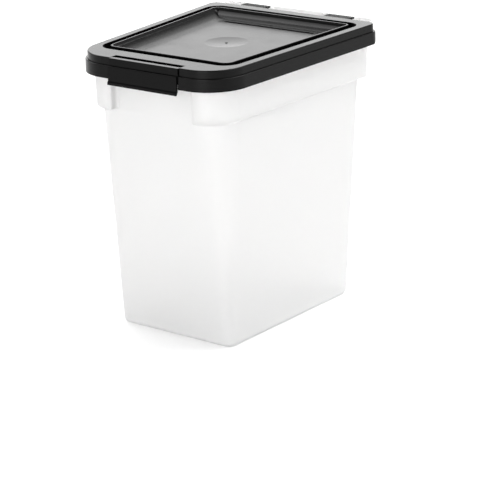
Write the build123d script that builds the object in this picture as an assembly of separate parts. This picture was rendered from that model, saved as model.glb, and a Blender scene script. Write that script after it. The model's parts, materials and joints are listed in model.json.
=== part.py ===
from build123d import *
import os
from math import cos, radians, sin, tan

# Pet food storage container, in millimetres. X runs across the front, Y runs to the back and Z is up.
# The origin is under the middle of the overall box, on the surface that the bin stands on.

# Overall size
overall_width = 230.0
overall_depth = 292.1
overall_height = 315.0

# Plan of the lid, which is narrower at the front than at the hinge
hinge_reach = 12.6
latch_proud = 3.0
side_taper = 3.56
front_corner_radius = 44.0
rear_corner_radius = 13.0
least_radius = 1.0

# Lid: rim, ledge and skirt
bead_rise = 0.6
rim_thickness = 2.2
lid_wall = 2.0
ledge_drop = 8.4
ledge_width = 2.6
ledge_thickness = 1.6
skirt_height = 22.2
rim_draft = 0.3
skirt_draft = 0.4
rim_edge_round = 1.2
ledge_round = 0.8
skirt_rear_gap = 6.8
skirt_end_round = 7.0

# Lid: moat, bead and sunk panel
bead_front = 40.7
bead_side = 21.3
bead_rear = 25.3
bead_width = 1.8
bead_round = 0.7
bead_front_radius = 10.0
bead_rear_radius = 7.0
moat_width = 9.0
panel_depth = 9.0
cove_width = 22.0
cove_steps = (0.0, 14.0, 34.0, 60.0, 90.0)
dish_radius = 24.0
dish_depth = 0.8
gate_radius = 1.3
gate_height = 0.5
panel_groove_end_gap = 6.5
panel_groove_width = 4.6
panel_groove_depth = 1.0

# Bay in the front of the lid and rim, where the latch sits
bay_corner_land = 11.4
bay_depth = 11.2
bay_outer_radius = 13.0
bay_inner_radius = 4.0
latch_bay_side_step = 2.8
ear_thickness = 1.8
front_rib_thickness = 1.2
front_rib_spacing = 30.0

# Seal and the channel that holds it
seal_width = 4.9
seal_height = 2.7
seal_side_gap = 0.3
seal_rest_gap = 0.3
channel_rib_thickness = 1.7
channel_rib_drop = 6.2

# Bin
bin_wall = 2.0
floor_thickness = 2.4
foot_recess_depth = 1.4
foot_rim_width = 14.0
foot_front = 35.0
foot_side = 24.6
foot_rear = 26.6
foot_radius = 12.0
foot_edge_round = 6.0
knee_front = 20.9
knee_side = 14.3
knee_rear = 14.3
knee_front_radius = 28.0
knee_rear_radius = 13.0
neck_lean = 0.4
band_height = 50.0
band_inset = 9.5
band_draft = 0.8
band_edge_round = 2.6
mouth_flange_thickness = 2.0
mouth_flange_side_gap = 1.4
mouth_flange_lid_gap = 0.8
lip_inset = 6.4
lip_wall = 2.0
gusset_thickness = 1.6
gusset_drop = 9.0
gusset_spacing = 22.0
gusset_end_gap = 10.0

# Hinge: rods moulded in the rear flange of the bin, and hooks moulded on the lid
hinge_rear_gap = 0.3
hinge_drop = 4.6
rod_radius = 2.3
rod_clearance = 0.08
hook_spacing = 115.0
hook_length = 33.0
hook_side_gap = 4.0
hook_mouth_angle = 80.0
cheek_thickness = 2.2
cheek_reach = 5.2
cheek_top_drop = 0.4
rear_flange_side_gap = 15.0
rear_flange_wall = 2.0
rear_flange_corner = 6.0

# Latch
latch_wall = 2.0
latch_side_gap = 0.5
latch_pivot_inset = 6.3
latch_top_drop = 0.3
latch_barrel_radius = 4.3
latch_upper_proud = 1.4
latch_lower_proud = 1.5
latch_hang = 6.0
latch_lip_height = 2.6
latch_lip_thickness = 1.4
latch_corner_round = 1.0
trunnion_radius = 2.0
trunnion_clearance = 0.06
trunnion_end_gap = 0.3
latch_rib_thickness = 1.8
latch_rib_spacing = 31.0
nose_side_gap = 9.5
nose_gap = 0.35
nose_height = 3.4

cut_margin = 5.0

# Places that follow from the sizes above
lid_front_y = -overall_depth / 2 + latch_proud
overall_rear_y = overall_depth / 2
lid_rear_y = overall_rear_y - hinge_reach
widest_y = lid_rear_y - rear_corner_radius
rim_top_z = overall_height - bead_rise
rim_underside_z = rim_top_z - rim_thickness
ledge_z = rim_top_z - ledge_drop
ledge_underside_z = ledge_z - ledge_thickness
skirt_bottom_z = rim_top_z - skirt_height
moat_floor_z = ledge_underside_z + lid_wall
panel_z = overall_height - panel_depth
channel_inset = ledge_width + rim_draft + lid_wall
flange_top_z = ledge_underside_z - mouth_flange_lid_gap
flange_bottom_z = flange_top_z - mouth_flange_thickness
flange_inset = lid_wall + mouth_flange_side_gap
seal_bottom_z = rim_underside_z - seal_height
lip_top_z = seal_bottom_z - seal_rest_gap
knee_z = flange_top_z - band_height
hinge_y = overall_rear_y - hinge_rear_gap - hinge_drop
hinge_z = rim_top_z - hinge_drop
latch_pivot_y = lid_front_y + latch_pivot_inset
latch_pivot_z = rim_top_z - latch_top_drop - latch_barrel_radius
front_half_width = overall_width / 2 - tan(radians(side_taper)) * (widest_y - lid_front_y)
bay_half_width = front_half_width - front_corner_radius - bay_corner_land
latch_bay_half_width = bay_half_width + latch_bay_side_step
rear_flange_half_width = overall_width / 2 - rear_flange_side_gap
bay_wall_inset = bay_depth + channel_inset - lid_wall
latch_bay_back_y = lid_front_y + bay_wall_inset


def half_width_at(y):
    """Half the width of the lid's outer outline, at a distance y along it."""
    return overall_width / 2 + tan(radians(side_taper)) * (y - widest_y)


def flat_box(x_low, x_high, y_low, y_high):
    """A rectangle in plan between four lines."""
    return Polygon((x_low, y_low), (x_high, y_low), (x_high, y_high), (x_low, y_high), align=None)


def rounded_plan(front, side, rear, front_radius, rear_radius):
    """A tapered plan outline, set in from the lid's outer outline by its own amount on each side."""
    y_front = lid_front_y + front
    y_rear = lid_rear_y - rear
    shift = side / cos(radians(side_taper))
    x_front = half_width_at(y_front) - shift
    x_rear = half_width_at(y_rear) - shift
    outline = Polygon(
        (-x_front, y_front), (x_front, y_front), (x_rear, y_rear), (-x_rear, y_rear), align=None
    )
    outline = fillet(outline.vertices().group_by(Axis.Y)[0], max(front_radius, least_radius))
    return fillet(outline.vertices().group_by(Axis.Y)[-1], max(rear_radius, least_radius))


def rim_plan(inset):
    """The lid's outer outline, set in evenly."""
    return rounded_plan(
        inset, inset, inset, front_corner_radius - inset, rear_corner_radius - inset
    )


def bay_plan(inset):
    """The outline set in evenly, which also steps back round the latch bay at the front."""
    half_width = bay_half_width + inset
    back_y = lid_front_y + bay_depth + inset
    front_y = lid_front_y - cut_margin
    bay = flat_box(-half_width, half_width, front_y, back_y)
    bay = fillet(bay.vertices().group_by(Axis.Y)[-1], bay_inner_radius + max(inset - band_inset, 0.0))
    outline = rim_plan(inset) - bay
    corners = [v for v in outline.vertices() if abs(abs(v.X) - half_width) < 0.01]
    outer = [v for v in corners if v.Y < lid_front_y + inset + 0.01]
    return fillet(outer, max(min(bay_outer_radius - inset, bay_depth / 2), least_radius))


def bead_plan(inset):
    """The outline of the bead round the lid's panel, set in evenly, or out where inset is negative."""
    return rounded_plan(
        bead_front + inset,
        bead_side + inset,
        bead_rear + inset,
        bead_front_radius - inset,
        bead_rear_radius - inset,
    )


def body_plan(z, inset):
    """The bin's tapered body at a height, set in evenly."""
    if z <= knee_z:
        share = z / knee_z
        front = foot_front + (knee_front - foot_front) * share
        side = foot_side + (knee_side - foot_side) * share
        rear = foot_rear + (knee_rear - foot_rear) * share
        front_radius = foot_radius + (knee_front_radius - foot_radius) * share
        rear_radius = foot_radius + (knee_rear_radius - foot_radius) * share
    else:
        lean = neck_lean * (z - knee_z) / band_height
        front = knee_front - lean
        side = knee_side - lean
        rear = knee_rear - lean
        front_radius = knee_front_radius
        rear_radius = knee_rear_radius
    return rounded_plan(
        front + inset, side + inset, rear + inset, front_radius - inset, rear_radius - inset
    )


def prism(outline, bottom, top):
    """An outline, raised straight between two heights."""
    return extrude(Pos(0, 0, bottom) * outline, top - bottom)


def tapered(bottom_outline, bottom, top_outline, top):
    """A solid with flat sloping walls between two outlines at two heights."""
    return loft([Pos(0, 0, bottom) * bottom_outline, Pos(0, 0, top) * top_outline], ruled=True)


def edges_at(shape, z, shortest=0.0):
    """The edges that lie flat at a height."""
    found = shape.edges().filter_by(lambda e: abs(e.bounding_box().min.Z - z) < 0.01)
    return found.filter_by(lambda e: abs(e.bounding_box().max.Z - z) < 0.01 and e.length > shortest)


def block(x_low, x_high, y_low, y_high, z_low, z_high):
    """A plain cutting block between six planes."""
    size = (x_high - x_low, y_high - y_low, z_high - z_low)
    centre = ((x_low + x_high) / 2, (y_low + y_high) / 2, (z_low + z_high) / 2)
    return Pos(*centre) * Box(*size)


def across(profile, x_low, x_high):
    """A profile drawn in Y and Z, run along X."""
    face = Plane.YZ.offset(x_low) * profile
    return extrude(face, x_high - x_low, dir=(1, 0, 0))


def even_places(half_span, spacing):
    """Evenly spaced places along X about the middle, as many as fit in a span."""
    count = int(2 * half_span / spacing) + 1
    return [(place - (count - 1) / 2) * spacing for place in range(count)]


def hook_centres():
    """The middles of the two hinge hooks along X."""
    return (-hook_spacing / 2, hook_spacing / 2)


def bin_shell():
    """The tapered body with the wider band under its mouth, hollowed to an even wall."""
    floor_z = foot_recess_depth + floor_thickness
    lower = tapered(body_plan(0, 0), 0, body_plan(knee_z, 0), knee_z)
    lower = fillet(edges_at(lower, 0), foot_edge_round)
    neck = tapered(body_plan(knee_z, 0), knee_z, body_plan(flange_top_z, 0), flange_top_z)
    band = tapered(
        bay_plan(band_inset + band_draft), knee_z, bay_plan(band_inset), flange_top_z
    )
    band = fillet(edges_at(band, knee_z), band_edge_round)
    inside = tapered(
        body_plan(floor_z, bin_wall), floor_z, body_plan(knee_z, bin_wall), knee_z
    )
    inside = fillet(edges_at(inside, floor_z), foot_edge_round - bin_wall)
    inside_neck = tapered(
        body_plan(knee_z, bin_wall), knee_z, body_plan(flange_top_z, bin_wall), flange_top_z
    )
    inside_band = tapered(
        bay_plan(band_inset + band_draft + bin_wall),
        knee_z + bin_wall,
        bay_plan(band_inset + bin_wall),
        flange_top_z,
    )
    shell = lower + neck + band - inside - inside_neck - inside_band
    return shell - prism(body_plan(0, foot_rim_width), -cut_margin, foot_recess_depth)


def mouth():
    """The flange round the mouth, the lip that meets the seal and the gussets under the front."""
    flange = prism(rim_plan(flange_inset), flange_bottom_z, flange_top_z)
    flange -= prism(bay_plan(band_inset + bin_wall), flange_bottom_z, flange_top_z)
    lip = prism(bay_plan(lip_inset), flange_top_z, lip_top_z)
    lip -= prism(bay_plan(lip_inset + lip_wall), flange_top_z, lip_top_z)
    ring = flange + lip
    front_y = lid_front_y + flange_inset + gusset_thickness
    back_y = lid_front_y + bay_depth + band_inset + bin_wall / 2
    profile = Polygon(
        (front_y, flange_bottom_z), (back_y, flange_bottom_z), (back_y, flange_bottom_z - gusset_drop),
        align=None,
    )
    for x in even_places(bay_half_width - gusset_end_gap, gusset_spacing):
        ring += across(profile, x - gusset_thickness / 2, x + gusset_thickness / 2)
    return ring


def rear_flange():
    """The shelf and wall behind the lid, with two windows that the hinge rods cross."""
    front_y = lid_rear_y - lip_inset
    top_z = rim_top_z - cheek_top_drop
    outline = flat_box(-rear_flange_half_width, rear_flange_half_width, front_y, overall_rear_y)
    outline = fillet(outline.vertices().group_by(Axis.Y)[-1], rear_flange_corner)
    inner_half = rear_flange_half_width - rear_flange_wall
    inner = flat_box(-inner_half, inner_half, front_y - cut_margin, overall_rear_y - rear_flange_wall)
    inner = fillet(inner.vertices().group_by(Axis.Y)[-1], rear_flange_corner - rear_flange_wall)
    tray = prism(outline, flange_bottom_z, top_z) - prism(inner, flange_top_z, top_z)
    tray -= block(
        -overall_width, overall_width, front_y - cut_margin, hinge_y - cheek_reach, flange_top_z, top_z
    )
    cheek = Polygon(
        (hinge_y - cheek_reach, flange_bottom_z),
        (overall_rear_y - rear_flange_wall / 2, flange_bottom_z),
        (overall_rear_y - rear_flange_wall / 2, top_z),
        (hinge_y - cheek_reach, top_z),
        align=None,
    )
    cheek = fillet(cheek.vertices().sort_by_distance((hinge_y - cheek_reach, top_z))[0], cheek_reach / 2)
    window_half = hook_length / 2 + hook_side_gap
    for centre in hook_centres():
        tray -= block(
            centre - window_half,
            centre + window_half,
            hinge_y - cheek_reach,
            overall_rear_y + cut_margin,
            flange_bottom_z - cut_margin,
            top_z + cut_margin,
        )
        tray += across(cheek, centre - window_half - cheek_thickness, centre - window_half)
        tray += across(cheek, centre + window_half, centre + window_half + cheek_thickness)
        rod = Plane.YZ.offset(centre - window_half - cheek_thickness / 2) * (
            Pos(hinge_y, hinge_z) * Circle(rod_radius)
        )
        tray += extrude(rod, 2 * window_half + cheek_thickness, dir=(1, 0, 0))
    return tray


def make_bin():
    """The clear one-piece bin."""
    return bin_shell() + mouth() + rear_flange()


def skirt():
    """The lower band of the lid's edge, which stops short of the hinge side."""
    wall = tapered(rim_plan(0), skirt_bottom_z, rim_plan(skirt_draft), ledge_z)
    wall = fillet(edges_at(wall, ledge_z), ledge_round)
    wall -= prism(rim_plan(lid_wall), skirt_bottom_z, ledge_underside_z)
    end_y = lid_rear_y - skirt_rear_gap
    side_view = Polygon(
        (lid_front_y - cut_margin, skirt_bottom_z),
        (end_y, skirt_bottom_z),
        (end_y, ledge_underside_z),
        (lid_rear_y + cut_margin, ledge_underside_z),
        (lid_rear_y + cut_margin, rim_top_z),
        (lid_front_y - cut_margin, rim_top_z),
        align=None,
    )
    side_view = fillet(
        side_view.vertices().sort_by_distance((end_y, skirt_bottom_z))[0], skirt_end_round
    )
    wall &= across(side_view, -overall_width, overall_width)
    return wall - prism(rim_plan(channel_inset), skirt_bottom_z, rim_top_z)


def rim():
    """The flat rim, its outer band, and the walls of the channel for the seal."""
    outer = tapered(
        rim_plan(ledge_width), ledge_underside_z, rim_plan(ledge_width + rim_draft), rim_top_z
    )
    outer = fillet(edges_at(outer, rim_top_z), rim_edge_round)
    outer -= prism(rim_plan(channel_inset), ledge_underside_z, rim_underside_z)
    channel_walls = prism(bay_plan(channel_inset - lid_wall), ledge_underside_z, rim_underside_z)
    channel_walls -= prism(bay_plan(channel_inset), ledge_underside_z, rim_underside_z)
    rib_inset = channel_inset + seal_side_gap * 2 + seal_width
    rib_bottom = rim_underside_z - channel_rib_drop
    inner_rib = prism(bay_plan(rib_inset), rib_bottom, rim_underside_z)
    inner_rib -= prism(bay_plan(rib_inset + channel_rib_thickness), rib_bottom, rim_underside_z)
    whole = outer + channel_walls + inner_rib
    rib_front = lid_front_y + bay_depth + rib_inset
    rib_back = lid_front_y + bead_front - moat_width - lid_wall / 2
    half = front_rib_thickness / 2
    for x in even_places(front_half_width - bead_side - bead_front_radius, front_rib_spacing):
        whole += block(x - half, x + half, rib_front, rib_back, rib_bottom, rim_underside_z)
    return whole


def moat():
    """The walls and floor of the deep channel round the bead, with the bead itself."""
    floor_underside_z = moat_floor_z - lid_wall
    walls = prism(bead_plan(-moat_width - lid_wall), floor_underside_z, rim_top_z)
    walls -= prism(bead_plan(-moat_width), moat_floor_z, rim_top_z)
    bead = prism(bead_plan(0), moat_floor_z, overall_height)
    bead = fillet(edges_at(bead, overall_height), bead_round)
    return walls + bead


def bowl(offset):
    """The space of the sunk panel: a quarter-ellipse cove down to a flat floor, or its underside."""
    sections = []
    for angle in cove_steps:
        run = cove_width * (1 - cos(radians(angle))) - offset * cos(radians(angle))
        drop = (panel_depth + offset) * sin(radians(angle))
        sections.append(Pos(0, 0, overall_height - drop) * bead_plan(bead_width + run))
    return loft(sections)


def sunk_panel(lid):
    """Sinks the panel into the lid, from above and below, with its dish, gate mark and groove."""
    pocket = prism(bead_plan(bead_width), moat_floor_z - lid_wall, overall_height - lid_wall)
    lid -= pocket - bowl(lid_wall)
    lid -= bowl(0.0)
    centre_y = (lid_front_y + bead_front + lid_rear_y - bead_rear) / 2
    sphere_radius = (dish_radius**2 + dish_depth**2) / (2 * dish_depth)
    dish = Pos(0, centre_y, panel_z - dish_depth + sphere_radius) * Sphere(sphere_radius)
    dish &= Pos(0, centre_y, panel_z) * Cylinder(dish_radius + cut_margin, 2 * dish_depth)
    lid -= dish
    gate = Cylinder(gate_radius, dish_depth + gate_height)
    lid += Pos(0, centre_y, panel_z - dish_depth) * gate
    groove_y = lid_rear_y - bead_rear - bead_width - cove_width - panel_groove_width / 2
    groove_half = half_width_at(groove_y) - bead_side - bead_width - cove_width - panel_groove_end_gap
    groove = SlotOverall(2 * groove_half, panel_groove_width)
    return lid - prism(Pos(0, groove_y) * groove, panel_z - panel_groove_depth, panel_z + panel_groove_depth)


def latch_bay():
    """The notch that the latch sits in, through the rim, ledge and skirt."""
    return block(
        -latch_bay_half_width,
        latch_bay_half_width,
        lid_front_y - cut_margin,
        latch_bay_back_y,
        skirt_bottom_z - cut_margin,
        rim_top_z + cut_margin,
    )


def ears():
    """The two cheeks of the latch bay, bored for the latch's trunnions."""
    front_y = lid_front_y + ledge_width + rim_draft
    low, high = ledge_underside_z, rim_underside_z + rim_thickness / 2
    bore = Pos(latch_pivot_y, latch_pivot_z) * Circle(trunnion_radius + trunnion_clearance)
    reach = latch_bay_half_width + ear_thickness
    pair = Part()
    for side in (-1, 1):
        inner, outer = sorted((side * latch_bay_half_width, side * reach))
        pair += block(inner, outer, front_y, latch_bay_back_y + lid_wall, low, high)
    pair -= prism(bay_plan(channel_inset), low, rim_underside_z)
    return pair, across(bore, -reach - cut_margin / 5, reach + cut_margin / 5)


def hinge_hooks():
    """The two open hooks that clip over the bin's rods, with the arms that carry them."""
    inner_radius = rod_radius + rod_clearance
    half_mouth = radians(hook_mouth_angle / 2)
    reach = 2 * hinge_drop
    mouth_wedge = Polygon(
        (hinge_y, hinge_z),
        (hinge_y - reach * sin(half_mouth), hinge_z - reach * cos(half_mouth)),
        (hinge_y + reach * sin(half_mouth), hinge_z - reach * cos(half_mouth)),
        align=None,
    )
    arm_start = lid_rear_y - ledge_width - rim_draft - lid_wall / 2
    arm = Polygon(
        (arm_start, rim_underside_z), (hinge_y, rim_underside_z), (hinge_y, rim_top_z), (arm_start, rim_top_z),
        align=None,
    )
    ring = Pos(hinge_y, hinge_z) * Circle(hinge_drop)
    profile = ring + arm - Pos(hinge_y, hinge_z) * Circle(inner_radius) - mouth_wedge
    pair = Part()
    for centre in hook_centres():
        pair += across(profile, centre - hook_length / 2, centre + hook_length / 2)
    return pair


def make_lid():
    """The black one-piece lid."""
    lid = rim() + moat() + skirt()
    top_z = overall_height + cut_margin
    lid -= prism(bead_plan(-moat_width), moat_floor_z, top_z) - prism(bead_plan(0), moat_floor_z, top_z)
    lid = sunk_panel(lid)
    cheeks, bores = ears()
    lid = lid - latch_bay() + cheeks - bores
    return lid + hinge_hooks()


def make_seal():
    """The soft strip in the channel under the rim, which the bin's lip meets."""
    inset = channel_inset + seal_side_gap
    strip = prism(bay_plan(inset), seal_bottom_z, rim_underside_z)
    return strip - prism(bay_plan(inset + seal_width), seal_bottom_z, rim_underside_z)


def make_latch():
    """The front latch: a curved shell on two trunnions, ribbed behind, with a nose under the flange."""
    half_width = latch_bay_half_width - latch_side_gap
    top_z = latch_pivot_z + latch_barrel_radius
    upper_y = lid_front_y + ledge_width - latch_upper_proud
    lower_y = lid_front_y - latch_lower_proud
    front_y = -overall_depth / 2
    bottom_z = skirt_bottom_z - latch_hang
    lip_top = bottom_z + latch_lip_height
    outer = Polygon(
        (latch_pivot_y, top_z),
        (upper_y, top_z),
        (upper_y, ledge_z),
        (lower_y, ledge_z),
        (lower_y, lip_top + latch_lip_thickness),
        (front_y, lip_top),
        (front_y, bottom_z),
        (front_y + latch_lip_thickness, bottom_z),
        (lower_y + latch_wall, lip_top + latch_lip_thickness),
        (lower_y + latch_wall, ledge_z - latch_wall),
        (upper_y + latch_wall, ledge_z - latch_wall),
        (upper_y + latch_wall, top_z - latch_wall),
        (latch_pivot_y, top_z - latch_wall),
        align=None,
    )
    corners = outer.vertices()
    soft = corners.sort_by_distance((upper_y, top_z))[:1] + corners.sort_by_distance((lower_y, ledge_z))[:1]
    outer = fillet(soft, latch_corner_round)
    barrel = Pos(latch_pivot_y, latch_pivot_z) * Circle(latch_barrel_radius)
    barrel -= Pos(latch_pivot_y, latch_pivot_z) * Circle(latch_barrel_radius - latch_wall)
    front_half = Pos(latch_pivot_y - latch_barrel_radius, latch_pivot_z) * Rectangle(
        2 * latch_barrel_radius, 4 * latch_barrel_radius
    )
    shell = across(outer + (barrel - front_half), -half_width, half_width)
    nose_y = lid_front_y + flange_inset - nose_gap
    nose_top = flange_bottom_z - nose_gap
    web = Polygon(
        (latch_pivot_y, top_z - latch_wall / 2),
        (upper_y + latch_wall / 2, top_z - latch_wall / 2),
        (upper_y + latch_wall / 2, ledge_z - latch_wall / 2),
        (lower_y + latch_wall / 2, ledge_z - latch_wall / 2),
        (lower_y + latch_wall / 2, bottom_z + skirt_height / 2),
        (nose_y, flange_bottom_z - nose_height),
        (nose_y, flange_top_z + nose_gap),
        (latch_pivot_y, latch_pivot_z - latch_barrel_radius),
        align=None,
    )
    web += Pos(latch_pivot_y, latch_pivot_z) * Circle(latch_barrel_radius)
    edge = half_width - latch_rib_thickness
    for x in (-half_width, -latch_rib_spacing / 2, latch_rib_spacing / 2 - latch_rib_thickness, edge):
        shell += across(web, x, x + latch_rib_thickness)
    pin = Pos(latch_pivot_y, latch_pivot_z) * Circle(trunnion_radius)
    reach = latch_bay_half_width + ear_thickness - trunnion_end_gap
    shell += across(pin, -reach, -edge)
    shell += across(pin, edge, reach)
    nose = Polygon(
        (lower_y + latch_wall / 2, nose_top),
        (nose_y, nose_top),
        (nose_y, nose_top - nose_height / 3),
        (lower_y + latch_wall / 2, nose_top - nose_height),
        align=None,
    )
    return shell + across(nose, nose_side_gap - half_width, half_width - nose_side_gap)


def main():
    """Writes each piece to its own file."""
    os.makedirs("parts", exist_ok=True)
    pieces = {"bin": make_bin(), "lid": make_lid(), "front_latch": make_latch(), "lid_seal": make_seal()}
    for name, piece in pieces.items():
        export_step(piece, f"parts/{name}.step")


main()
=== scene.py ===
"""Finishes, studio and camera for a frosted food bin with a glossy black hinged lid."""

import json
import logging
from dataclasses import dataclass, field
from enum import Enum
from math import cos, radians, sin
from typing import Any

import bmesh
import bpy
from mathutils import Matrix, Vector

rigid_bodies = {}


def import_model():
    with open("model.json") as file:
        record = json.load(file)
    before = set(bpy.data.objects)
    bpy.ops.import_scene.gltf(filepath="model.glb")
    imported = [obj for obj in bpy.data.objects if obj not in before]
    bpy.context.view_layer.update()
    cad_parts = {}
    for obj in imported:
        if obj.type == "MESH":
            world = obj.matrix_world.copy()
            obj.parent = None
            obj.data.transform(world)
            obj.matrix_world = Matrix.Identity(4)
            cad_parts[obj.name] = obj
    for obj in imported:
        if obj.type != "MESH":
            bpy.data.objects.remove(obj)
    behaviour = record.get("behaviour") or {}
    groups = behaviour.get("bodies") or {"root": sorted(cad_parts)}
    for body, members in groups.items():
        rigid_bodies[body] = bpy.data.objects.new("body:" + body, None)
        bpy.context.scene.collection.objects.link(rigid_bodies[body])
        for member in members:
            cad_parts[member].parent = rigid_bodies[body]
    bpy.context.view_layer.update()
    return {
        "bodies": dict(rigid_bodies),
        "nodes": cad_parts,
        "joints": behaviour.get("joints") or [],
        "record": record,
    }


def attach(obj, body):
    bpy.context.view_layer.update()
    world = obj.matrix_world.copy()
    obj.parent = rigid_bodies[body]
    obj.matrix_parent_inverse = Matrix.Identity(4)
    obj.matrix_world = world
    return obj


log = logging.getLogger("food_bin")

Number = float | int
Colour = tuple[float, float, float]
Point = tuple[float, float, float]

# Sockets of a Mix node that joins two colours, by number because its other modes share their names
MIX_SHARE, MIX_FIRST, MIX_SECOND, MIX_RESULT = 0, 6, 7, 2


class Slot(Enum):
    """Material slots that the record names for the pieces."""

    CLEAR = "clear_plastic"
    BLACK = "black_plastic"
    LATCH = "black_latch_plastic"
    SEAL = "seal_rubber"


def put(name: str, data: bpy.types.ID) -> bpy.types.Object:
    """Makes an object of some data and links it to the scene.

    Args:
        name: The object's name.
        data: Its mesh, light or camera.

    Returns:
        The object, at the origin.
    """
    thing = bpy.data.objects.new(name, data)
    bpy.context.scene.collection.objects.link(thing)
    return thing


def toward(azimuth: float, elevation: float) -> Vector:
    """The direction from the bin to a place round it.

    Args:
        azimuth: Degrees round from the front, towards the bin's right.
        elevation: Degrees up.

    Returns:
        A direction one metre long.
    """
    turn, tilt = radians(azimuth), radians(elevation)
    return Vector((sin(turn) * cos(tilt), -cos(turn) * cos(tilt), sin(tilt)))


def verts_of(result: dict[str, Any]) -> list[bmesh.types.BMVert]:
    """The vertices in what a mesh operator returned."""
    return [part for part in result["geom"] if isinstance(part, bmesh.types.BMVert)]


@dataclass(frozen=True)
class Wire:
    """An output socket that is used in sums like a number."""

    tree: bpy.types.NodeTree
    socket: bpy.types.NodeSocket

    def math(self, operation: str, *others: "Wire | Number", swap: bool = False) -> "Wire":
        """Adds one Math node.

        Args:
            operation: The Math node's operation.
            others: The other values that it takes.
            swap: Whether this wire is the second value, not the first.

        Returns:
            The node's result.
        """
        node = self.tree.nodes.new("ShaderNodeMath")
        node.operation = operation
        values = [*others, self] if swap else [self, *others]
        for target, value in zip(node.inputs, values):
            if isinstance(value, Wire):
                self.tree.links.new(value.socket, target)
            else:
                target.default_value = value
        return Wire(self.tree, node.outputs[0])

    def __add__(self, other: "Wire | Number") -> "Wire":
        """This plus other."""
        return self.math("ADD", other)

    def __radd__(self, other: Number) -> "Wire":
        """A number plus this."""
        return self.math("ADD", other, swap=True)

    def __sub__(self, other: "Wire | Number") -> "Wire":
        """This less other."""
        return self.math("SUBTRACT", other)

    def __rsub__(self, other: Number) -> "Wire":
        """A number less this."""
        return self.math("SUBTRACT", other, swap=True)

    def __mul__(self, other: "Wire | Number") -> "Wire":
        """This times other."""
        return self.math("MULTIPLY", other)

    def __rmul__(self, other: Number) -> "Wire":
        """A number times this."""
        return self.math("MULTIPLY", other, swap=True)

    def __truediv__(self, other: "Wire | Number") -> "Wire":
        """This divided by other."""
        return self.math("DIVIDE", other)

    def __rtruediv__(self, other: Number) -> "Wire":
        """A number divided by this."""
        return self.math("DIVIDE", other, swap=True)

    def above(self, edge: Number, width: Number) -> "Wire":
        """Rises from 0 to 1 over a width that starts at an edge."""
        return ((self - edge) / width).math("MINIMUM", 1.0).math("MAXIMUM", 0.0)


@dataclass
class Shader:
    """A material while its nodes are being laid."""

    name: str
    material: bpy.types.Material = field(init=False)
    surface: bpy.types.Node = field(init=False)

    def __post_init__(self) -> None:
        """Makes the material with a single surface node and its output."""
        self.material = bpy.data.materials.new(self.name)
        self.material.use_nodes = True
        self.tree.nodes.clear()
        output = self.add("ShaderNodeOutputMaterial")
        self.surface = self.add("ShaderNodeBsdfPrincipled")
        self.plug(output, "Surface", self.out(self.surface))

    @property
    def tree(self) -> bpy.types.NodeTree:
        """The material's nodes."""
        return self.material.node_tree

    def add(self, kind: str, settings: dict[str, Any] | None = None, **sockets: Any) -> bpy.types.Node:
        """Adds any node.

        Args:
            kind: The node's type.
            settings: Its settings, which are set before its sockets.
            sockets: Values or wires for its inputs, with _ for a space in a name.

        Returns:
            The new node.
        """
        node = self.tree.nodes.new(kind)
        for key, value in (settings or {}).items():
            setattr(node, key, value)
        for key, value in sockets.items():
            self.plug(node, key.replace("_", " "), value)
        return node

    def plug(self, node: bpy.types.Node, socket: str | int, value: Any) -> None:
        """Links a wire to a socket, or sets the socket's value.

        Args:
            node: The node that has the socket.
            socket: The input's name or number.
            value: A wire, or a plain value.
        """
        target = node.inputs[socket]
        if isinstance(value, Wire):
            self.tree.links.new(value.socket, target)
        else:
            target.default_value = value

    def out(self, node: bpy.types.Node, socket: str | int = 0) -> Wire:
        """One of a node's outputs as a wire."""
        return Wire(self.tree, node.outputs[socket])

    def place(self) -> Wire:
        """The point on the object, in metres in the shared frame."""
        return self.out(self.add("ShaderNodeTexCoord"), "Object")

    def axis(self, letter: str) -> Wire:
        """One coordinate of the point on the object."""
        return self.out(self.add("ShaderNodeSeparateXYZ", Vector=self.place()), letter)

    def stretched(self, scale: Point) -> Wire:
        """The point on the object, with each axis scaled by its own amount."""
        return self.out(self.add("ShaderNodeMapping", Vector=self.place(), Scale=scale))

    def noise(self, scale: float, detail: float = 2.0, along: Wire | None = None) -> Wire:
        """Soft noise at so many cells a metre.

        Args:
            scale: Cells a metre.
            detail: How many finer layers it has.
            along: The coordinates that it follows, or the object's own.

        Returns:
            The noise, about 0.5.
        """
        vector = along or self.place()
        node = self.add("ShaderNodeTexNoise", Vector=vector, Scale=scale, Detail=detail, Roughness=0.55)
        return self.out(node, "Fac")

    def colours(self, share: Wire | Number, first: Colour, second: Colour) -> Wire:
        """Goes between two colours.

        Args:
            share: How far towards the second colour.
            first: The first colour.
            second: The second colour.

        Returns:
            The colour.
        """
        node = self.add("ShaderNodeMix", {"data_type": "RGBA"})
        self.plug(node, MIX_SHARE, share)
        self.plug(node, MIX_FIRST, (*first, 1.0))
        self.plug(node, MIX_SECOND, (*second, 1.0))
        return self.out(node, MIX_RESULT)

    def bump(self, height: Wire, depth: float, strength: float) -> Wire:
        """A fine relief.

        Args:
            height: The relief's shape, from 0 to 1.
            depth: How deep it is, in metres.
            strength: How strongly it shows.

        Returns:
            The normal that carries it.
        """
        node = self.add("ShaderNodeBump", Height=height, Distance=depth, Strength=strength)
        return self.out(node, "Normal")

    def set(self, **sockets: Any) -> None:
        """Sets or links the surface's own sockets, with _ for a space in a name."""
        for key, value in sockets.items():
            self.plug(self.surface, key.replace("_", " "), value)


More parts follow.
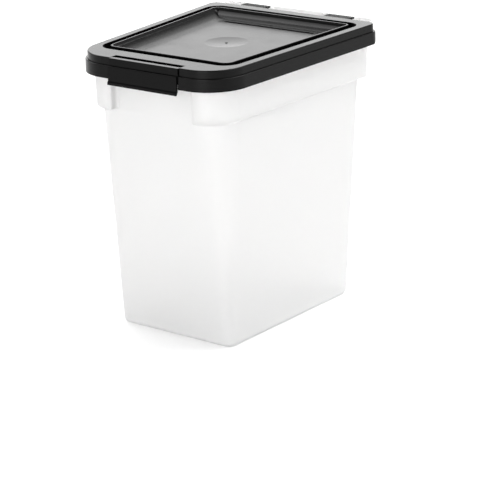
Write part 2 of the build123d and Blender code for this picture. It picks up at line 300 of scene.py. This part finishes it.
@dataclass(frozen=True)
class FrostedPlastic:
    """Milky, slightly clear polypropylene with a fine matt grain, faint flow marks and painted shade that
    makes the colour cooler and darker towards its base.
    """

    pale: Colour = (0.995, 0.99, 0.985)
    cool: Colour = (0.96, 0.965, 0.97)
    cool_share: float = 0.28
    clouds: float = 9.0
    cloud_share: float = 0.5
    cloud_roughness: float = 0.16
    flow: float = 26.0
    flow_stretch: Point = (1.0, 1.0, 0.12)
    flow_share: float = 0.35
    flow_relief: float = 0.6
    # Painted shade towards the base: how high it reaches and how far it darkens the colour
    base_shade_height: float = 0.06
    base_shade_share: float = 0.18
    grain: float = 1400.0
    grain_roughness: float = 0.08
    grain_depth: float = 0.00003
    grain_strength: float = 0.5
    roughness: float = 0.42
    clearness: float = 0.6
    refraction: float = 1.49

    def build(self) -> bpy.types.Material:
        """Makes the material.

        Returns:
            The material, with its colour, gloss and grain.
        """
        shader = Shader("frosted_plastic")
        clouds = shader.noise(self.clouds, 3.0)
        flow = shader.noise(self.flow, 2.0, shader.stretched(self.flow_stretch))
        grain = shader.noise(self.grain, 1.0)
        # Painted shade: the colour turns cooler and darker over the lowest few centimetres of the bin
        base_shade = 1 - shader.axis("Z").above(0.0, self.base_shade_height)
        drift = (clouds - 0.5) * self.cloud_share + (flow - 0.5) * self.flow_share
        share = drift + base_shade * self.base_shade_share + self.cool_share
        matt = (clouds - 0.5) * self.cloud_roughness + (grain - 0.5) * self.grain_roughness
        shader.set(
            Base_Color=shader.colours(share, self.pale, self.cool),
            Roughness=self.roughness + matt,
            Normal=shader.bump(grain + flow * self.flow_relief, self.grain_depth, self.grain_strength),
            IOR=self.refraction,
            Transmission_Weight=self.clearness,
        )
        return shader.material


@dataclass(frozen=True)
class BlackPlastic:
    """Glossy black moulding with a faint orange peel and a little dust in its gloss."""

    name: str
    deep: Colour = (0.0012, 0.0012, 0.0012)
    worn: Colour = (0.004, 0.004, 0.004)
    mist: float = 45.0
    mist_share: float = 0.6
    mist_roughness: float = 0.09
    dust: float = 1700.0
    dust_edge: float = 0.62
    dust_width: float = 0.12
    dust_share: float = 0.3
    dust_roughness: float = 0.05
    peel: float = 260.0
    peel_depth: float = 0.00002
    peel_strength: float = 0.35
    roughness: float = 0.2
    gloss: float = 1.24

    def build(self) -> bpy.types.Material:
        """Makes the material.

        Returns:
            The material, with its colour, gloss and peel.
        """
        shader = Shader(self.name)
        mist = shader.noise(self.mist, 4.0)
        dust = shader.noise(self.dust, 1.0).above(self.dust_edge, self.dust_width)
        share = mist * self.mist_share + dust * self.dust_share
        dull = (mist - 0.5) * self.mist_roughness + dust * self.dust_roughness
        shader.set(
            Base_Color=shader.colours(share, self.deep, self.worn),
            Roughness=self.roughness + dull,
            Normal=shader.bump(shader.noise(self.peel), self.peel_depth, self.peel_strength),
            IOR=self.gloss,
        )
        return shader.material


@dataclass(frozen=True)
class SealRubber:
    """Soft grey-white sealing strip, slightly dusty."""

    clean: Colour = (0.62, 0.62, 0.60)
    dusty: Colour = (0.50, 0.50, 0.49)
    dust: float = 320.0
    dust_roughness: float = 0.2
    relief_depth: float = 0.00004
    relief_strength: float = 0.4
    roughness: float = 0.55
    sheen: float = 0.1

    def build(self) -> bpy.types.Material:
        """Makes the material.

        Returns:
            The material, with its colour and soft surface.
        """
        shader = Shader("seal_rubber")
        dust = shader.noise(self.dust, 3.0)
        shader.set(
            Base_Color=shader.colours(dust, self.clean, self.dusty),
            Roughness=self.roughness + (dust - 0.5) * self.dust_roughness,
            Normal=shader.bump(dust, self.relief_depth, self.relief_strength),
            Sheen_Weight=self.sheen,
        )
        return shader.material


@dataclass
class Moulding:
    """A moulded piece of the frame that is dressed in its finish."""

    node: str
    finish: FrostedPlastic | BlackPlastic | SealRubber
    slot: Slot

    def dress(self, frame: dict[str, Any]) -> bpy.types.Object:
        """Gives the piece its finish.


        Returns:
            The piece's object.
        """
        piece = frame["nodes"][self.node]
        material = self.finish.build()
        if not piece.material_slots:
            piece.data.materials.append(material)
        for slot in piece.material_slots:
            slot.material = material
        log.info("%s takes %s", self.node, material.name)
        return piece


@dataclass
class HookRibs:
    """Fine rounded ribs over the lid's two hinge hooks, from the rim round the back of each barrel."""

    hinge: Point
    hook_spacing: float = 0.115
    hook_length: float = 0.033
    arm: float = 0.010
    pitch: float = 0.0023
    radius: float = 0.0015
    seat: float = 0.00335
    turn: float = -125.0
    turn_steps: int = 18
    section_sides: int = 16
    weld: float = 0.000001

    def places(self) -> list[float]:
        """Spaces the ribs evenly over both hooks.

        Returns:
            The ribs' places along X.
        """
        count = int((self.hook_length - 2 * self.radius) / self.pitch) + 1
        steps = [(place - (count - 1) / 2) * self.pitch for place in range(count)]
        return [side * self.hook_spacing / 2 + step for side in (-1, 1) for step in steps]

    def shape_rib(self, ribs: bmesh.types.BMesh) -> None:
        """Shapes one rib at the middle: a half round that runs back over the arm and round the barrel.

        Args:
            ribs: The mesh that takes the rib.
        """
        _, hinge_y, hinge_z = self.hinge
        seat = Vector((0.0, hinge_y, hinge_z + self.seat))
        upright = Matrix.Translation(seat) @ Matrix.Rotation(radians(90.0), 4, "X")
        bmesh.ops.create_circle(
            ribs, cap_ends=True, segments=self.section_sides, radius=self.radius, matrix=upright
        )
        disc = [*ribs.verts, *ribs.edges, *ribs.faces]
        bmesh.ops.bisect_plane(
            ribs, geom=disc, plane_co=seat, plane_no=(0.0, 0.0, 1.0), clear_inner=True
        )
        section = ribs.faces[:][0]
        run = bmesh.ops.extrude_face_region(ribs, geom=[section])
        bmesh.ops.translate(ribs, verts=verts_of(run), vec=(0.0, -self.arm, 0.0))
        bmesh.ops.spin(
            ribs,
            geom=[section, *section.edges, *section.verts],
            cent=(0.0, hinge_y, hinge_z),
            axis=(1.0, 0.0, 0.0),
            angle=radians(self.turn),
            steps=self.turn_steps,
            use_merge=False,
        )
        bmesh.ops.remove_doubles(ribs, verts=ribs.verts, dist=self.weld)

    def build(self, finish: bpy.types.Material) -> bpy.types.Object:
        """Makes all the ribs as one piece that moves with the lid.

        Args:
            finish: The lid's material.

        Returns:
            The piece.
        """
        ribs = bmesh.new()
        self.shape_rib(ribs)
        first = [*ribs.verts, *ribs.edges, *ribs.faces]
        for x in self.places():
            copy = bmesh.ops.duplicate(ribs, geom=first)
            bmesh.ops.translate(ribs, verts=verts_of(copy), vec=(x, 0.0, 0.0))
        bmesh.ops.delete(ribs, geom=verts_of({"geom": first}), context="VERTS")
        bmesh.ops.recalc_face_normals(ribs, faces=ribs.faces)
        for face in ribs.faces:
            face.smooth = len(face.verts) == 4
        mesh = bpy.data.meshes.new("hook_ribs")
        ribs.to_mesh(mesh)
        ribs.free()
        mesh.materials.append(finish)
        piece = put("hook_ribs", mesh)
        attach(piece, "lid")
        log.info("hook_ribs has %d ribs and %d faces", len(self.places()), len(mesh.polygons))
        return piece


@dataclass
class FoodBin:
    """The whole product: bin, lid, latch and seal."""

    mouldings: tuple[Moulding, ...] = (
        Moulding("bin", FrostedPlastic(), Slot.CLEAR),
        Moulding("lid", BlackPlastic("black_lid_plastic"), Slot.BLACK),
        Moulding("front_latch", BlackPlastic("black_latch_plastic", roughness=0.14, gloss=1.2), Slot.LATCH),
        Moulding("lid_seal", SealRubber(), Slot.SEAL),
    )

    def build(self, frame: dict[str, Any]) -> None:
        """Dresses every piece.
        """
        dressed = {moulding.node: moulding.dress(frame) for moulding in self.mouldings}
        joints = {joint["name"]: joint for joint in frame["joints"]}
        ribs = HookRibs(hinge=tuple(joints["lid_hinge"]["pos_m"]))
        ribs.build(dressed["lid"].material_slots[0].material)


@dataclass
class Floor:
    """A wide round sheet of pale matt paper under the bin."""

    reach: float = 2.4
    sides: int = 96
    fold: float = 0.004
    colour: Colour = (0.93, 0.93, 0.93)
    mottle: float = 2.0
    mottle_dimming: float = 0.99
    roughness: float = 0.9
    lift: float = 0.2

    def build(self) -> bpy.types.Object:
        """Makes the sheet, with its edge turned down.

        Returns:
            The sheet, which isn't part of the object.
        """
        sheet = bmesh.new()
        bmesh.ops.create_circle(sheet, cap_ends=True, segments=self.sides, radius=self.reach)
        rim = bmesh.ops.extrude_edge_only(sheet, edges=sheet.edges[:])
        bmesh.ops.translate(sheet, verts=verts_of(rim), vec=(0.0, 0.0, -self.fold))
        bmesh.ops.recalc_face_normals(sheet, faces=sheet.faces)
        mesh = bpy.data.meshes.new("floor")
        sheet.to_mesh(mesh)
        sheet.free()
        mesh.materials.append(self.paper())
        piece = put("floor", mesh)
        log.info("floor is %d faces", len(mesh.polygons))
        return piece

    def paper(self) -> bpy.types.Material:
        """Makes the floor's paper.

        Returns:
            A pale matt material that is lifted a little, so that the far floor stays pale.
        """
        shader = Shader("floor_paper")
        dim = tuple(value * self.mottle_dimming for value in self.colour)
        shader.set(
            Base_Color=shader.colours(shader.noise(self.mottle), self.colour, dim),
            Roughness=self.roughness,
            Emission_Color=(1.0, 1.0, 1.0, 1.0),
            Emission_Strength=self.lift,
        )
        return shader.material


@dataclass(frozen=True)
class Softbox:
    """One soft rectangular light that points at the bin."""

    name: str
    azimuth: float
    elevation: float
    distance: float
    size: tuple[float, float]
    power: float

    def hang(self, aim: Vector) -> bpy.types.Object:
        """Hangs the light.

        Args:
            aim: The point that it faces.

        Returns:
            The light's object.
        """
        away = toward(self.azimuth, self.elevation)
        data = bpy.data.lights.new(self.name, "AREA")
        data.shape = "RECTANGLE"
        data.size, data.size_y = self.size
        data.energy = self.power
        light = put(self.name, data)
        light.location = aim + away * self.distance
        light.rotation_euler = away.to_track_quat("Z", "Y").to_euler()
        return light


@dataclass
class Studio:
    """The floor, the softboxes and the white surroundings."""

    aim: Point = (0.0, 0.0, 0.2)
    horizon: float = 1.15
    zenith: float = 0.3
    fade_start: float = 0.15
    fade_width: float = 0.6
    lights: tuple[Softbox, ...] = (
        Softbox("overhead", 144.0, 60.0, 1.7, (1.2, 1.2), 24.0),
        Softbox("high_left", -105.0, 48.0, 2.2, (1.5, 1.5), 20.0),
        Softbox("fill_front", 10.0, 13.0, 2.3, (1.1, 1.3), 18.0),
        Softbox("fill_right", 96.0, 14.0, 2.3, (1.1, 1.3), 3.5),
        Softbox("rear_glow", 216.0, 13.0, 3.2, (2.6, 1.4), 9.0),
        Softbox("rear_halo", 216.0, 18.0, 3.3, (3.0, 2.2), 11.0),
    )

    def surroundings(self) -> bpy.types.World:
        """Makes white surroundings that are bright at the horizon and dimmer overhead.

        Returns:
            The world.
        """
        world = bpy.data.worlds.new("studio")
        world.use_nodes = True
        tree = world.node_tree
        sky = tree.nodes["Background"]
        sky.inputs["Color"].default_value = (1.0, 1.0, 1.0, 1.0)
        direction = tree.nodes.new("ShaderNodeTexCoord")
        split = tree.nodes.new("ShaderNodeSeparateXYZ")
        tree.links.new(direction.outputs["Generated"], split.inputs[0])
        height = Wire(tree, split.outputs["Z"]).above(self.fade_start, self.fade_width)
        glow = self.horizon + height * (self.zenith - self.horizon)
        tree.links.new(glow.socket, sky.inputs["Strength"])
        return world

    def build(self) -> None:
        """Sets up the floor, the lights and the surroundings."""
        Floor().build()
        for light in self.lights:
            light.hang(Vector(self.aim))
        bpy.context.scene.world = self.surroundings()
        bpy.context.scene.view_settings.view_transform = "Standard"
        log.info("studio has %d softboxes", len(self.lights))


@dataclass(frozen=True)
class Viewpoint:
    """The camera, at the photograph's angle."""

    azimuth: float = 36.70
    elevation: float = 19.65
    roll: float = -1.73
    distance: float = 2.1494
    aim: Point = (0.0, -0.0048, 0.160)
    right_step: float = 0.01633
    up_step: float = -0.08708
    focal_pixels: float = 1936.3
    picture: tuple[int, int] = (487, 500)
    sensor: float = 36.0

    def place(self) -> bpy.types.Object:
        """Sets up the camera.

        Returns:
            The camera's object.
        """
        turn, roll = radians(self.azimuth), radians(self.roll)
        back = toward(self.azimuth, self.elevation)
        right = Vector((cos(turn), sin(turn), 0.0))
        up = back.cross(right)
        across = right * cos(roll) + up * sin(roll)
        above = up * cos(roll) - right * sin(roll)
        target = Vector(self.aim) + right * self.right_step + up * self.up_step
        data = bpy.data.cameras.new("camera")
        data.sensor_width = self.sensor
        data.lens = self.sensor * self.focal_pixels / max(self.picture)
        camera = put("camera", data)
        turned = Matrix((across, above, back)).transposed().to_4x4()
        camera.matrix_world = Matrix.Translation(target + back * self.distance) @ turned
        bpy.context.scene.camera = camera
        return camera


def main() -> None:
    """Loads the frame, dresses it and sets up the studio and camera."""
    logging.basicConfig(level=logging.INFO, format="%(message)s")
    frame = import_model()
    FoodBin().build(frame)
    Studio().build()
    Viewpoint().place()


if __name__ == "__main__":
    main()
